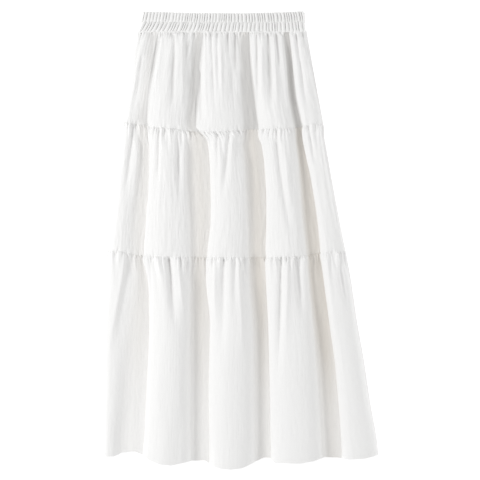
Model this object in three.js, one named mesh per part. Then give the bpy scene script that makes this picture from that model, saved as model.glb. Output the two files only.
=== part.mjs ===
// A long white skirt in three gathered tiers under an elastic waistband, laid flat on its back.
// Millimetres: X runs across the skirt, Y from the hem up to the waist, Z up from the table.
// The front panels stand up in five soft flutes. Each flute is an open tunnel over the flat back.
import * as THREE from "three";

// Driving dimensions
const clothWall = 1.3; // front panels
const backWall = 1.5; // back panels, pressed flat under the front
const bandWall = 2.2; // two layers of cloth with elastic between them
const bandRise = 1.4; // how far a band gather swells over its wall
const seamGap = 0.3; // space left between neighbouring pieces
const backSideGap = 2.3; // the back panels stop this far inside the front's side walls
const backHemGap = 6; // the back hem stops short of the front hem
const bandTopGap = 1; // the band's back stops short of the front's top edge
const bandGathers = 56;
const bandBottom = 412; // height of the seam between band and top tier
const seamHalf = seamGap / 2;
const crownShare = 0.47; // a flute's crown lies a little left of its middle
const backColumns = 30;
const settleSteps = 4; // height and place along a seam depend on each other, so they are settled in turns
const valleyFloor = backWall + seamGap + clothWall; // outer face of the cloth where it lies on the back

// Edges of the four valleys between the five flutes, from the waist seam down to the hem
const edgeNames = [
  "y", "left", "aLeft", "aRight", "bLeft", "bRight", "cLeft", "cRight", "dLeft", "dRight", "right",
];
const edgeRows = [
  [412, -205, -176, -164, -86, -78, 2, 18, 90, 98, 134],
  [360, -216, -184, -172, -91, -83, 6, 20, 96, 104, 143],
  [300, -222, -194, -182, -94, -86, 9, 26, 100, 108, 154],
  [230, -235, -204, -186, -103, -92, 15, 34, 112, 122, 167],
  [200, -238, -200, -182, -104, -61, 7, 44, 114, 128, 172],
  [120, -248, -203, -182, -104, -59, 13, 51, 120, 142, 184],
  [40, -258, -212, -187, -98, -58, 18, 52, 127, 154, 199],
  [-30, -268, -212, -192, -96, -66, 19, 51, 135, 161, 213],
  [-80, -273, -206, -184, -96, -69, 21, 53, 139, 168, 222],
  [-160, -276, -218, -181, -97, -61, 28, 56, 147, 179, 234],
  [-240, -278, -224, -184, -98, -62, 30, 58, 154, 190, 248],
  [-320, -278, -230, -188, -98, -63, 30, 60, 159, 197, 260],
  [-400, -278, -238, -192, -98, -62, 30, 62, 163, 203, 274],
  [-458, -278, -238, -197, -98, -62, 28, 64, 166, 205, 279],
].map((row) => named(edgeNames, row));

// Height of the flutes over the valleys, how far their sides turn under, and how deep each valley is
const riseNames = ["y", "rise", "turn", "aDeep", "bDeep", "cDeep", "dDeep"];
const riseRows = [
  [412, 2.6, 0.7, 0.8, 1, 0.8, 1],
  [395, 7, 0.7, 0.8, 1, 0.8, 1],
  [360, 9, 0.7, 0.8, 1, 0.9, 0.9],
  [300, 11, 0.75, 0.5, 1, 1, 0.9],
  [230, 13, 0.85, 0.7, 1, 1, 1],
  [200, 17, 0.95, 1, 1, 1, 1],
  [120, 20, 1, 1, 1, 1, 1],
  [40, 22, 1, 1, 1, 1, 1],
  [-30, 23, 1, 1, 1, 1, 1],
  [-80, 26, 1, 1, 1, 1, 1],
  [-240, 31, 1, 1, 1, 1, 1],
  [-400, 33, 1, 1, 1, 1, 1],
  [-458, 34, 1, 1, 1, 1, 1],
].map((row) => named(riseNames, row));

// The five flutes: share of the full height, how far each side turns in degrees, columns across
const flutes = [
  { from: "left", to: "aLeft", tall: 0.72, leftTurn: 90, rightTurn: 62, columns: 14 },
  { from: "aRight", to: "bLeft", tall: 1, leftTurn: 106, rightTurn: 82, columns: 26 },
  { from: "bRight", to: "cLeft", tall: 1.04, leftTurn: 108, rightTurn: 92, columns: 26 },
  { from: "cRight", to: "dLeft", tall: 0.98, leftTurn: 106, rightTurn: 84, columns: 26 },
  { from: "dRight", to: "right", tall: 0.85, leftTurn: 104, rightTurn: 90, columns: 18 },
];
const valleys = [
  { from: "aLeft", to: "aRight", deep: "aDeep", columns: 8 },
  { from: "bLeft", to: "bRight", deep: "bDeep", columns: 8 },
  { from: "cLeft", to: "cRight", deep: "cDeep", columns: 8 },
  { from: "dLeft", to: "dRight", deep: "dDeep", columns: 8 },
];

// The two gathered seams and the hem, each as a line across the front
const topSeam = [
  { x: -235, y: 238 }, { x: -184, y: 228 }, { x: -130, y: 223 }, { x: -90, y: 216 }, { x: -40, y: 218 },
  { x: 20, y: 221 }, { x: 60, y: 224 }, { x: 120, y: 225 }, { x: 150, y: 235 }, { x: 168, y: 232 },
];
const lowSeam = [
  { x: -268, y: -20 }, { x: -240, y: -21 }, { x: -212, y: -29 }, { x: -160, y: -32 }, { x: -70, y: -34 },
  { x: 50, y: -34 }, { x: 120, y: -32 }, { x: 150, y: -28 }, { x: 165, y: -23 }, { x: 214, y: -22 },
];
const hemLine = [
  { x: -279, y: -434 }, { x: -250, y: -432 }, { x: -234, y: -424 }, { x: -210, y: -423 },
  { x: -194, y: -430 }, { x: -180, y: -440 }, { x: -160, y: -448 }, { x: -136, y: -450 },
  { x: -96, y: -441 }, { x: -70, y: -441 }, { x: -58, y: -450 }, { x: -40, y: -456 }, { x: -18, y: -458 },
  { x: 6, y: -455 }, { x: 30, y: -443 }, { x: 48, y: -435 }, { x: 60, y: -436 }, { x: 70, y: -445 },
  { x: 120, y: -446 }, { x: 148, y: -441 }, { x: 168, y: -434 }, { x: 192, y: -435 },
  { x: 220, y: -438 }, { x: 250, y: -436 }, { x: 279, y: -429 },
];
const bandTop = [
  { x: -205, y: 448 }, { x: -196, y: 457 }, { x: -150, y: 456 }, { x: -90, y: 454 }, { x: 20, y: 454 },
  { x: 90, y: 456 }, { x: 126, y: 458 }, { x: 134, y: 450 },
];
const bandSides = [
  { y: 412, left: -205, right: 134 }, { y: 424, left: -201, right: 131 }, { y: 434, left: -199, right: 130 },
  { y: 446, left: -197, right: 131 }, { y: 458, left: -194, right: 130 },
];

// The largest creases, which start at a seam and fade as they fall: place at the start, half-way and end
const creaseNames = ["y", "x", "midX", "endX", "endY", "width", "depth"];
const creases = [
  [412, -130, -134, -136, 236, 7, 2.4],
  [412, -75, -75, -74, 368, 4, 1.4],
  [412, -58, -56, -50, 290, 5, 1.8],
  [412, -46, -45, -43, 330, 4, 1.4],
  [412, -24, -17, -8, 240, 7, 1.8],
  [404, 33, 32, 32, 300, 6, 1.4],
  [412, 56, 61, 60, 256, 9, 2.3],
  [412, 71, 76, 80, 364, 4, 1.3],
  [412, 112, 124, 138, 240, 7, 2.2],
  [234, -210, -221, -232, 60, 9, 2.6],
  [226, -162, -163, -167, 80, 6, 1.8],
  [224, -124, -122, -120, 60, 7, 3],
  [218, -46, -46, -44, 116, 5, 1.8],
  [220, -20, -28, -38, 60, 7, 2.6],
  [226, 72, 78, 114, -26, 7, 3],
  [232, 136, 145, 154, 130, 6, 2],
  [234, 162, 182, 200, -14, 7, 2.4],
  [-28, -218, -236, -258, -274, 10, 3],
  [-32, -140, -136, -127, -150, 10, 3.6],
  [-34, -108, -105, -100, -90, 6, 2],
  [-34, -32, -39, -36, -260, 12, 3.6],
  [-34, 8, 11, 16, -86, 6, 2],
  [-34, 82, 77, 72, -230, 9, 3.2],
  [-32, 114, 121, 127, -170, 11, 3.8],
  [-22, 186, 190, 195, -70, 5, 1.6],
  [-22, 198, 205, 218, -154, 7, 2.8],
].map((row) => named(creaseNames, row));

// The three tiers: the lines they hang between, their row spacing and their small seam gathers
const tiers = [
  { name: "tier_1", rows: [0, 0.09, 0.3, 0.64, 1], pitch: 6, swell: 0.9, reach: 0.24 },
  { name: "tier_2", rows: [0, 0.05, 0.16, 0.38, 0.68, 1], pitch: 4, swell: 1.7, reach: 0.17 },
  { name: "tier_3", rows: [0, 0.035, 0.11, 0.27, 0.5, 0.75, 1], pitch: 3, swell: 2, reach: 0.12 },
];

// The band's stitch lines and swells from its top edge down, and the shape of one gather across
const bandLevels = [
  { fall: 0, swell: 0.25, lean: 0 },
  { fall: 0.25, swell: 1, lean: 1 },
  { fall: 0.47, swell: 0.2, lean: 0 },
  { fall: 0.74, swell: 0.9, lean: -1 },
  { fall: 1, swell: 0.3, lean: 0 },
];
const bandBeats = [0, 1, 0.55];

const frontColour = 0xf4f2ec;
const backColour = 0xe9e6df;

function named(names, row) {
  return Object.fromEntries(names.map((name, index) => [name, row[index]]));
}

function ease(share) {
  const held = Math.min(1, Math.max(0, share));
  return held * held * (3 - 2 * held);
}

// Finds the pair of rows around a place in a table and how far it lies between them
function between(rows, key, place) {
  const way = Math.sign(rows[rows.length - 1][key] - rows[0][key]);
  let index = 0;
  while (index < rows.length - 2 && (rows[index + 1][key] - place) * way < 0) {
    index += 1;
  }
  const share = (place - rows[index][key]) / (rows[index + 1][key] - rows[index][key]);
  return { index, share: Math.min(1, Math.max(0, share)) };
}

// Straight lines through the rows of a table
function along(rows, key, name, place) {
  const { index, share } = between(rows, key, place);
  return THREE.MathUtils.lerp(rows[index][name], rows[index + 1][name], share);
}

// A smooth curve through the rows of a table
function flowing(rows, key, name, place) {
  const { index, share } = between(rows, key, place);
  const step = (at) => {
    const before = rows[Math.max(0, at - 1)];
    const after = rows[Math.min(rows.length - 1, at + 1)];
    return (after[name] - before[name]) / (after[key] - before[key]);
  };
  const start = rows[index];
  const end = rows[index + 1];
  const span = end[key] - start[key];
  const rest = 1 - share;
  return start[name] * rest * rest * (1 + 2 * share)
    + end[name] * share * share * (1 + 2 * rest)
    + span * step(index) * rest * rest * share
    - span * step(index + 1) * share * share * rest;
}

// Columns across the front: flute, valley, flute and so on, each with its place within its stretch
function frontColumns() {
  const columns = [];
  flutes.forEach((flute, index) => {
    for (let step = 0; step <= flute.columns; step += 1) {
      columns.push({ flute: index, share: step / flute.columns });
    }
    if (index < valleys.length) {
      for (let step = 1; step < valleys[index].columns; step += 1) {
        columns.push({ valley: index, share: step / valleys[index].columns });
      }
    }
  });
  return columns;
}

// One side of a flute: its half width and the angle at which it meets the floor
function fluteSide(middle, edge, turn) {
  const angle = THREE.MathUtils.degToRad(turn);
  const reach = Math.abs(edge - middle) / (angle < Math.PI / 2 ? Math.sin(angle) : 1);
  return { angle, reach, foot: middle + Math.sign(edge - middle) * reach * Math.sin(angle) };
}

function fluteShape(index, y) {
  const flute = flutes[index];
  const left = flowing(edgeRows, "y", flute.from, y);
  const right = flowing(edgeRows, "y", flute.to, y);
  const turn = flowing(riseRows, "y", "turn", y);
  const middle = left + (right - left) * crownShare;
  return {
    middle,
    top: valleyFloor + flowing(riseRows, "y", "rise", y) * flute.tall,
    left: fluteSide(middle, left, index === 0 ? flute.leftTurn : flute.leftTurn * turn),
    right: fluteSide(middle, right, index === flutes.length - 1 ? flute.rightTurn : flute.rightTurn * turn),
  };
}

function floorHeight(index, y) {
  if (index < 0 || index >= valleys.length) {
    return 0;
  }
  const shallow = 1 - flowing(riseRows, "y", valleys[index].deep, y);
  return valleyFloor + shallow * flowing(riseRows, "y", "rise", y);
}

// Where a column of the front lies at one height, before creases
function restPoint(column, y) {
  if (column.flute !== undefined) {
    const shape = fluteShape(column.flute, y);
    const turn = THREE.MathUtils.lerp(-shape.left.angle, shape.right.angle, column.share);
    const side = turn < 0 ? shape.left : shape.right;
    const floor = floorHeight(turn < 0 ? column.flute - 1 : column.flute, y);
    const lift = (Math.cos(turn) - Math.cos(side.angle)) / (1 - Math.cos(side.angle));
    return { x: shape.middle + side.reach * Math.sin(turn), z: floor + (shape.top - floor) * lift };
  }
  const before = fluteShape(column.valley, y).right.foot;
  const after = fluteShape(column.valley + 1, y).left.foot;
  return { x: THREE.MathUtils.lerp(before, after, column.share), z: floorHeight(column.valley, y) };
}

// Creases are soft troughs. Each holds its depth to just past half-way and then fades out.
function creaseDepth(x, y) {
  const held = 0.55;
  const softness = 0.6;
  let depth = 0;
  for (const crease of creases) {
    const fall = (crease.y - y) / (crease.y - crease.endY);
    if (fall < 0 || fall > 1) {
      continue;
    }
    const early = THREE.MathUtils.lerp(crease.x, crease.midX, fall);
    const late = THREE.MathUtils.lerp(crease.midX, crease.endX, fall);
    const off = (x - THREE.MathUtils.lerp(early, late, fall)) / (crease.width * softness);
    depth += crease.depth * Math.exp(-off * off) * (1 - ease((fall - held) / (1 - held)));
  }
  return depth;
}

// Small gathers just under a seam: nothing at the stitches, most a little below them, then fading
function gatherDepth(tier, index, fall) {
  const beat = index % tier.pitch === 0 ? 1 : -0.35;
  const uneven = 0.7 + 0.3 * Math.sin(index * 1.7);
  const below = fall / tier.reach;
  const opening = Math.min(1, below * 4);
  return tier.swell * beat * uneven * opening * Math.exp(-below * below);
}

const lineAt = {
  waist: () => bandBottom,
  top: (x) => along(topSeam, "x", "y", x),
  low: (x) => along(lowSeam, "x", "y", x),
  hem: (x) => along(hemLine, "x", "y", x),
};
const tierLines = [[lineAt.waist, lineAt.top], [lineAt.top, lineAt.low], [lineAt.low, lineAt.hem]];

// Points of one row of a front tier: the outer skin, then the inner skin a wall's thickness under it
function frontRow(tierIndex, columns, fall) {
  const tier = tiers[tierIndex];
  const [upper, lower] = tierLines[tierIndex];
  const isHem = tierIndex === tiers.length - 1;
  const flat = columns.map((column) => {
    let y = THREE.MathUtils.lerp(upper(0), lower(0), fall);
    let point = restPoint(column, y);
    for (let step = 0; step < settleSteps; step += 1) {
      y = THREE.MathUtils.lerp(upper(point.x) - seamHalf, lower(point.x) + (isHem ? 0 : seamHalf), fall);
      point = restPoint(column, y);
    }
    return { x: point.x, y, z: point.z };
  });
  const facing = flat.map((point, index) => sectionNormal(flat, index));
  const outer = flat.map((point, index) => {
    const isEdge = index === 0 || index === flat.length - 1;
    const upright = 0.4 + 0.6 * Math.max(0, facing[index].z); // shallower on a flute's steep sides
    const gather = gatherDepth(tier, index, fall);
    const isFlute = columns[index].valley === undefined;
    const dent = isFlute ? creaseDepth(point.x, point.y) * upright + gather : Math.min(0, gather);
    const move = isEdge ? 0 : -dent;
    return {
      x: point.x + facing[index].x * move,
      y: point.y,
      z: isEdge ? 0 : Math.max(valleyFloor, point.z + facing[index].z * move),
    };
  });
  const inner = outer.map((point, index) => {
    const normal = sectionNormal(outer, index);
    return { x: point.x - normal.x * clothWall, y: point.y, z: point.z - normal.z * clothWall };
  });
  return { outer, inner };
}

// Outward direction of a section line at one of its points, level at the two side edges
function sectionNormal(points, index) {
  if (index === 0 || index === points.length - 1) {
    return { x: index === 0 ? -1 : 1, z: 0 };
  }
  const before = points[index - 1];
  const after = points[index + 1];
  const length = Math.hypot(after.x - before.x, after.z - before.z);
  return { x: -(after.z - before.z) / length, z: (after.x - before.x) / length };
}

// Joins rows of outer and inner points into one closed wall
function wallMesh(name, rows, colour) {
  const wide = rows[0].outer.length;
  const points = rows.flatMap((row) => [...row.outer, ...row.inner]);
  const lastRow = rows.length - 1;
  const lastColumn = wide - 1;
  const outer = (row, column) => row * 2 * wide + column;
  const inner = (row, column) => (row * 2 + 1) * wide + column;
  const faces = [];
  const quad = (a, b, c, d) => faces.push(a, b, c, a, c, d);
  for (let row = 0; row < lastRow; row += 1) {
    const next = row + 1;
    for (let column = 0; column < lastColumn; column += 1) {
      quad(outer(row, column), outer(next, column), outer(next, column + 1), outer(row, column + 1));
      quad(inner(row, column), inner(row, column + 1), inner(next, column + 1), inner(next, column));
    }
    quad(outer(row, 0), inner(row, 0), inner(next, 0), outer(next, 0));
    quad(outer(row, lastColumn), outer(next, lastColumn), inner(next, lastColumn), inner(row, lastColumn));
  }
  for (let column = 0; column < lastColumn; column += 1) {
    const beside = column + 1;
    quad(outer(0, column), outer(0, beside), inner(0, beside), inner(0, column));
    quad(outer(lastRow, column), inner(lastRow, column), inner(lastRow, beside), outer(lastRow, beside));
  }
  const geometry = new THREE.BufferGeometry();
  const flat = points.flatMap((point) => [point.x, point.y, point.z]);
  geometry.setAttribute("position", new THREE.Float32BufferAttribute(flat, 3));
  geometry.setIndex(faces);
  geometry.computeVertexNormals();
  const mesh = new THREE.Mesh(geometry, cottonMaterial(colour));
  mesh.name = name;
  return mesh;
}

function cottonMaterial(colour) {
  return new THREE.MeshStandardMaterial({ color: colour, roughness: 0.9, metalness: 0 });
}

function frontTier(tierIndex) {
  const columns = frontColumns();
  const rows = tiers[tierIndex].rows.map((fall) => frontRow(tierIndex, columns, fall));
  return wallMesh(`${tiers[tierIndex].name}_front`, rows, frontColour);
}

// A flat panel under the front, between an upper and a lower line and inside two side lines
function backPanel(name, upper, lower, left, right) {
  const rows = [0, 0.33, 0.66, 1].map((fall) => {
    const outer = [];
    for (let column = 0; column <= backColumns; column += 1) {
      let x = 0;
      let y = 0;
      for (let step = 0; step < settleSteps; step += 1) {
        y = THREE.MathUtils.lerp(upper(x), lower(x), fall);
        x = THREE.MathUtils.lerp(left(y), right(y), column / backColumns);
      }
      outer.push({ x, y, z: backWall });
    }
    return { outer, inner: outer.map((point) => ({ ...point, z: 0 })) };
  });
  return wallMesh(name, rows, backColour);
}

function backTier(tierIndex) {
  const [upper, lower] = tierLines[tierIndex];
  const lift = tierIndex === tiers.length - 1 ? backHemGap : seamHalf;
  const inside = clothWall + backSideGap;
  return backPanel(
    `${tiers[tierIndex].name}_back`,
    (x) => upper(x) - seamHalf,
    (x) => lower(x) + lift,
    (y) => flowing(edgeRows, "y", "left", y) + inside,
    (y) => flowing(edgeRows, "y", "right", y) - inside,
  );
}

function bandBack() {
  const inside = bandWall + backSideGap / 2;
  return backPanel(
    "waistband_back",
    (x) => along(bandTop, "x", "y", x) - bandTopGap,
    () => bandBottom + seamHalf,
    (y) => along(bandSides, "y", "left", y) + inside,
    (y) => along(bandSides, "y", "right", y) - inside,
  );
}

// The band: gathers swell between its stitch lines over a plain inside, and its ends roll to the table
function bandFront() {
  const steps = bandGathers * bandBeats.length;
  const base = backWall + 2 * seamGap;
  const rows = bandLevels.map((level) => {
    const outer = [];
    const inner = [];
    for (let step = 0; step <= steps; step += 1) {
      let x = 0;
      let y = 0;
      for (let turn = 0; turn < settleSteps; turn += 1) {
        y = THREE.MathUtils.lerp(along(bandTop, "x", "y", x), bandBottom + seamHalf, level.fall);
        const left = along(bandSides, "y", "left", y);
        const right = along(bandSides, "y", "right", y);
        x = THREE.MathUtils.lerp(left, right, step / steps);
      }
      const inward = step === 0 ? 1 : -1;
      const uneven = 0.75 + 0.25 * Math.sin(step * 2.3);
      const swell = bandRise * level.swell * uneven * bandBeats[step % bandBeats.length];
      if (step === 0 || step === steps) {
        outer.push({ x, y, z: 0 });
        inner.push({ x: x + inward * bandWall, y, z: 0 });
      } else {
        outer.push({ x: x + level.lean, y, z: base + bandWall + swell });
        inner.push({ x, y, z: base });
      }
    }
    return { outer, inner };
  });
  return wallMesh("waistband_front", rows, frontColour);
}

const skirt = new THREE.Group();
skirt.add(bandFront(), bandBack());
tiers.forEach((tier, index) => skirt.add(frontTier(index), backTier(index)));

export default skirt;
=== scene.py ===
import math

import bpy
import numpy as np
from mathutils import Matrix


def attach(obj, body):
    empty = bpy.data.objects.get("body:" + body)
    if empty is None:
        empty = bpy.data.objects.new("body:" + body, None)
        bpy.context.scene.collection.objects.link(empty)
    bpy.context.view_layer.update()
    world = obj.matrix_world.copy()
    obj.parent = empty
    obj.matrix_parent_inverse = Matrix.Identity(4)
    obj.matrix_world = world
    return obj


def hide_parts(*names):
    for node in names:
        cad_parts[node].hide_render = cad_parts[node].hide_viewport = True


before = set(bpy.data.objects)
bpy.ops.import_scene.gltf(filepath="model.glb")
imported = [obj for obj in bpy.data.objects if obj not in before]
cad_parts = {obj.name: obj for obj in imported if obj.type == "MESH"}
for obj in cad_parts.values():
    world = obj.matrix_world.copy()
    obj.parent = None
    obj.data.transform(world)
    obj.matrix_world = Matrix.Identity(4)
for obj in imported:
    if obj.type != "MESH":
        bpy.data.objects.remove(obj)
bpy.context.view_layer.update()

# A white tiered skirt of crinkled cotton, laid flat on its back on a pale floor.
# Tables are in millimetres across and up the skirt, as it lies; the meshes are in metres.

mm = 0.001
seed = 7
noiseDown = 900    # keeps the places in the noise above zero
footBlur = 11      # columns over which the foot of a flute is rounded

photo = {
    "mmPerPixel": 2.0,   # size of one photo pixel on the skirt
    "pixels": 480,
    "distance": 9.0,     # a long lens, so the flutes aren't spread by perspective
    "sensor": 36.0,
}

cloth = {
    "thickness": 0.7,    # of the front shells, in mm
    "innerStep": 4,      # their inner skin keeps one point in this many
    "crispAngle": 70,    # edges over this many degrees stay sharp
    "backTop": 1.45,     # the back panels lie under this height
    "floorGap": 1.1,     # air between the back and the front where it lies in the valleys
    "seamHalf": 0.15,    # half the gap between two tiers at a seam
    "waist": 415.6,      # where the top tier comes out from under the band
    "lap": 1.6,          # each gathered edge runs this far up under the piece above
    "lowest": 2.4,       # least height of the front's outer skin over the floor
}
valleyFloor = cloth["backTop"] + cloth["floorGap"] + cloth["thickness"]

# sides of the skirt and of its four valleys, from a on the left to d on the right
edgeNames = ["y", "left", "aLeft", "aRight", "bLeft", "bRight",
             "cLeft", "cRight", "dLeft", "dRight", "right"]
edgeRows = [
    [412, -205, -176, -164, -86, -78, 2, 18, 90, 98, 134],
    [360, -216, -184, -172, -91, -83, 6, 20, 96, 104, 143],
    [300, -222, -194, -182, -94, -86, 9, 26, 100, 108, 154],
    [236, -234, -203, -186, -102, -88, 14, 34, 111, 121, 166],
    [222, -236, -202, -184, -103, -86, 12, 37, 113, 124, 168],
    [203, -236, -202, -184, -103, -68, 11, 38, 113, 125, 169],
    [188, -238, -200, -182, -104, -64, 7, 44, 114, 128, 172],
    [120, -248, -203, -182, -104, -59, 13, 51, 120, 142, 184],
    [40, -258, -212, -187, -98, -58, 18, 52, 127, 154, 199],
    [-30, -268, -212, -192, -96, -66, 19, 51, 135, 161, 213],
    [-80, -273, -206, -184, -96, -69, 21, 53, 139, 168, 222],
    [-160, -276, -218, -181, -97, -61, 28, 56, 147, 179, 234],
    [-240, -278, -224, -184, -98, -62, 30, 58, 154, 190, 248],
    [-320, -278, -230, -188, -98, -63, 30, 60, 159, 197, 260],
    [-400, -278, -238, -192, -98, -62, 30, 62, 163, 203, 274],
    [-458, -278, -238, -197, -98, -62, 28, 64, 166, 205, 279],
]
# height of the flutes, how far their sides turn under, and how deep each valley is
riseNames = ["y", "rise", "turn", "aDeep", "bDeep", "cDeep", "dDeep"]
riseRows = [
    [416, 3.5, 0.72, 0.8, 1, 0.9, 1],
    [402, 9.5, 0.72, 0.8, 1, 1, 1],
    [380, 13.5, 0.7, 0.8, 1, 1, 1],
    [300, 18, 0.68, 0.5, 1, 1, 1],
    [240, 20, 0.7, 0.7, 0.8, 1, 1],
    [214, 20.5, 0.86, 0.85, 0.5, 1, 1],
    [184, 21, 1, 0.9, 0.9, 1, 1],
    [120, 22, 1, 0.9, 1, 1, 1],
    [40, 23, 1, 0.9, 1, 1, 1],
    [-30, 24, 1, 0.9, 1, 1, 1],
    [-80, 26.5, 1, 0.9, 1, 1, 1],
    [-240, 31, 1, 0.9, 1, 1, 1],
    [-400, 33, 1, 0.9, 1, 1, 1],
    [-458, 34, 1, 0.9, 1, 1, 1],
]
# flutes: the edges they run between, share of the height, turn of each side in degrees,
# place of the crown from the left, columns of points
fluteNames = ["from", "to", "tall", "leftTurn", "rightTurn", "crown", "columns"]
fluteRows = [
    ("left", "aLeft", 0.64, 90, 60, 0.42, 80),
    ("aRight", "bLeft", 1, 106, 84, 0.42, 150),
    ("bRight", "cLeft", 1.04, 108, 84, 0.42, 150),
    ("cRight", "dLeft", 0.98, 106, 86, 0.42, 150),
    ("dRight", "right", 0.85, 104, 90, 0.28, 96),
]
flutes = [dict(zip(fluteNames, row)) for row in fluteRows]
# soft is how many columns the rounded foot reaches, on the flute and in the valley; each valley also has its
# own weight of painted shade
valleys = [
    {"deep": "aDeep", "columns": 36, "valleyShadeShare": 0.35, "soft": (34, 22)},
    {"deep": "bDeep", "columns": 36, "valleyShadeShare": 0.65, "soft": (9, 10)},
    {"deep": "cDeep", "columns": 36, "valleyShadeShare": 1.0, "soft": (11, 11)},
    {"deep": "dDeep", "columns": 36, "valleyShadeShare": 1.6, "soft": (9, 10)},
]

# seams, hem and band edge as places across and up the skirt
topSeam = [(-235, 238), (-184, 228), (-130, 223), (-90, 216), (-40, 218),
           (20, 221), (60, 224), (120, 225), (150, 235), (168, 232)]
lowSeam = [(-268, -20), (-240, -21), (-212, -29), (-160, -32), (-70, -34),
           (50, -34), (120, -32), (150, -28), (165, -23), (214, -22)]
hemLine = [(-279, -434), (-250, -432), (-234, -424), (-210, -423), (-194, -430),
           (-180, -440), (-160, -448), (-136, -450), (-96, -441), (-70, -441),
           (-58, -450), (-40, -456), (-18, -458), (6, -455), (30, -443),
           (48, -435), (60, -436), (70, -445), (120, -446), (148, -441),
           (168, -434), (192, -435), (220, -438), (250, -436), (279, -429)]
bandTop = [(-205, 448), (-196, 457), (-150, 456), (-90, 454), (20, 454), (90, 456), (126, 458), (134, 450)]
# height, left side, right side
bandSides = [(412, -205, 134), (424, -201, 131), (434, -199, 130), (446, -197, 131), (458, -194, 130)]

# creases: start y, x at the start, half-way and end, end y, width, depth
# a ridge has a negative depth
creases = [
    (412, -130, -134, -136, 236, 8, 1.9),
    (412, -114, -115, -115, 240, 8, -2.0),
    (412, -82, -87, -92, 226, 6, 2.0),
    (330, -84, -82, -78, 222, 8, 1.8),
    (412, -70, -70, -66, 232, 5, -1.0),
    (412, -58, -56, -48, 236, 6, 1.5),
    (412, -46, -45, -41, 280, 5, 1.2),
    (412, -38, -38, -34, 240, 5, -1.0),
    (412, -24, -17, -8, 240, 8, 1.1),
    (412, -8, -8, -7, 330, 5, 0.9),
    (404, 33, 32, 33, 240, 6, 1.4),
    (412, 44, 44, 44, 240, 8, -1.5),
    (412, 56, 61, 61, 232, 9, 1.9),
    (412, 71, 76, 80, 330, 5, 1.0),
    (400, 68, 72, 74, 240, 5, -1.2),
    (412, 82, 88, 98, 236, 6, -1.3),
    (410, 94, 102, 114, 236, 6, 2.4),
    (412, 112, 124, 138, 240, 7, 2.2),
    (412, 124, 130, 136, 340, 5, 1.0),
    (380, 128, 134, 142, 300, 6, -0.9),
    (360, -196, -206, -214, 250, 7, 1.2),
    (400, -156, -164, -172, 290, 8, -1.0),
    (412, -168, -180, -192, 260, 9, 1.6),
    (234, -210, -221, -232, 60, 9, 2.6),
    (230, -200, -208, -220, 40, 8, -1.4),
    (226, -162, -163, -167, 80, 6, 1.8),
    (222, -144, -144, -143, 168, 5, 1.3),
    (224, -124, -122, -120, 60, 8, 2.6),
    (224, -112, -112, -112, 60, 5, -1.2),
    (218, -46, -46, -44, 116, 5, 1.8),
    (218, -32, -31, -31, 206, 4, 1.2),
    (220, -20, -28, -38, 60, 8, 2.3),
    (220, -4, -4, -3, 198, 4, 1.3),
    (218, 2, 5, 10, 30, 8, -1.6),
    (222, 56, 56, 57, 200, 4, 1.2),
    (226, 72, 78, 114, -26, 9, 2.6),
    (226, 86, 92, 104, 40, 7, -1.1),
    (226, 102, 102, 103, 190, 4, 1.2),
    (232, 136, 145, 154, 130, 6, 2),
    (234, 162, 182, 200, -14, 7, 2.4),
    (234, 154, 168, 186, 0, 7, -1.2),
    (-28, -216, -238, -262, -300, 18, 1.7),
    (-28, -228, -246, -264, -240, 8, -1.2),
    (-32, -180, -178, -178, -140, 6, 1.2),
    (-32, -140, -135, -128, -190, 11, 3.2),
    (-36, -124, -119, -110, -170, 6, -1.6),
    (-34, -108, -105, -100, -90, 6, 2),
    (-34, -32, -39, -36, -260, 13, 3.1),
    (-34, -50, -52, -50, -200, 6, -1.2),
    (-34, 8, 11, 16, -86, 6, 2),
    (-38, -4, 2, 6, -260, 8, -1.3),
    (-34, -8, -10, -12, -160, 7, 1.0),
    (-34, 82, 77, 72, -320, 10, 3.8),
    (-34, 96, 92, 90, -240, 8, -1.4),
    (-40, 100, 100, 100, -68, 5, 1.5),
    (-32, 114, 121, 127, -170, 11, 3.8),
    (-22, 186, 190, 195, -70, 5, 1.6),
    (-22, 198, 205, 218, -154, 7, 2.8),
    (-24, 206, 207, 208, -50, 4, 1),
    (-60, 176, 190, 210, -380, 8, -1.2),
]

# runs of gathers under a seam: how many, width as a share of their pitch, depth, length,
# share of them that stand proud
gatherRuns = {
    "tier_1": [(60, 0.19, 3.0, 14, 0.2), (26, 0.26, 1.7, 28, 0.3), (12, 0.2, 1.8, 110, 0.35)],
    "tier_2": [(86, 0.18, 3.2, 14, 0.2), (40, 0.23, 3.6, 30, 0.3), (18, 0.2, 2.2, 70, 0.35)],
    "tier_3": [(104, 0.18, 3.2, 14, 0.2), (46, 0.23, 3.8, 32, 0.3), (18, 0.17, 2.2, 80, 0.35)],
}
# lapDrop is how much lower a gathered edge lies under the piece above, held the share of a crease's length
# at full depth, and the last three weigh the painted shade: a creamier, darker one in the valleys, a grey
# one where the skin lies sunk, and more grey in the valleys
tiers = [
    {"name": "tier_1", "rows": 96, "swell": 0.8, "crinkle": 0.52, "lapDrop": 0.4, "held": 0.55,
     "valleyShadeShare": 0.45, "deepShade": 0.3, "valleyGreyShade": 0.45},
    {"name": "tier_2", "rows": 100, "swell": 1.5, "crinkle": 0.5, "lapDrop": 0.8, "held": 0.4,
     "valleyShadeShare": 0.8, "deepShade": 0.045, "valleyGreyShade": 0.08},
    {"name": "tier_3", "rows": 100, "swell": 1.7, "crinkle": 0.2, "lapDrop": 0.8, "held": 0.4,
     "valleyShadeShare": 1.0, "deepShade": 0.042, "valleyGreyShade": 0.03},
]
lastTier = len(tiers) - 1


def table(names, rows):
    values = np.array(rows, float)
    return {name: values[:, index] for index, name in enumerate(names)}


edges = table(edgeNames, edgeRows)
rises = table(riseNames, riseRows)


def ease(share):
    held = np.clip(share, 0, 1)
    return held * held * (3 - 2 * held)


def hump(place, middle, wide):
    return np.exp(-((place - middle) / wide) ** 2)


def line(points, place):    # straight lines through a short list of places
    values = np.array(points, float)
    order = np.argsort(values[:, 0])
    return np.interp(place, values[order, 0], values[order, 1])


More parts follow.
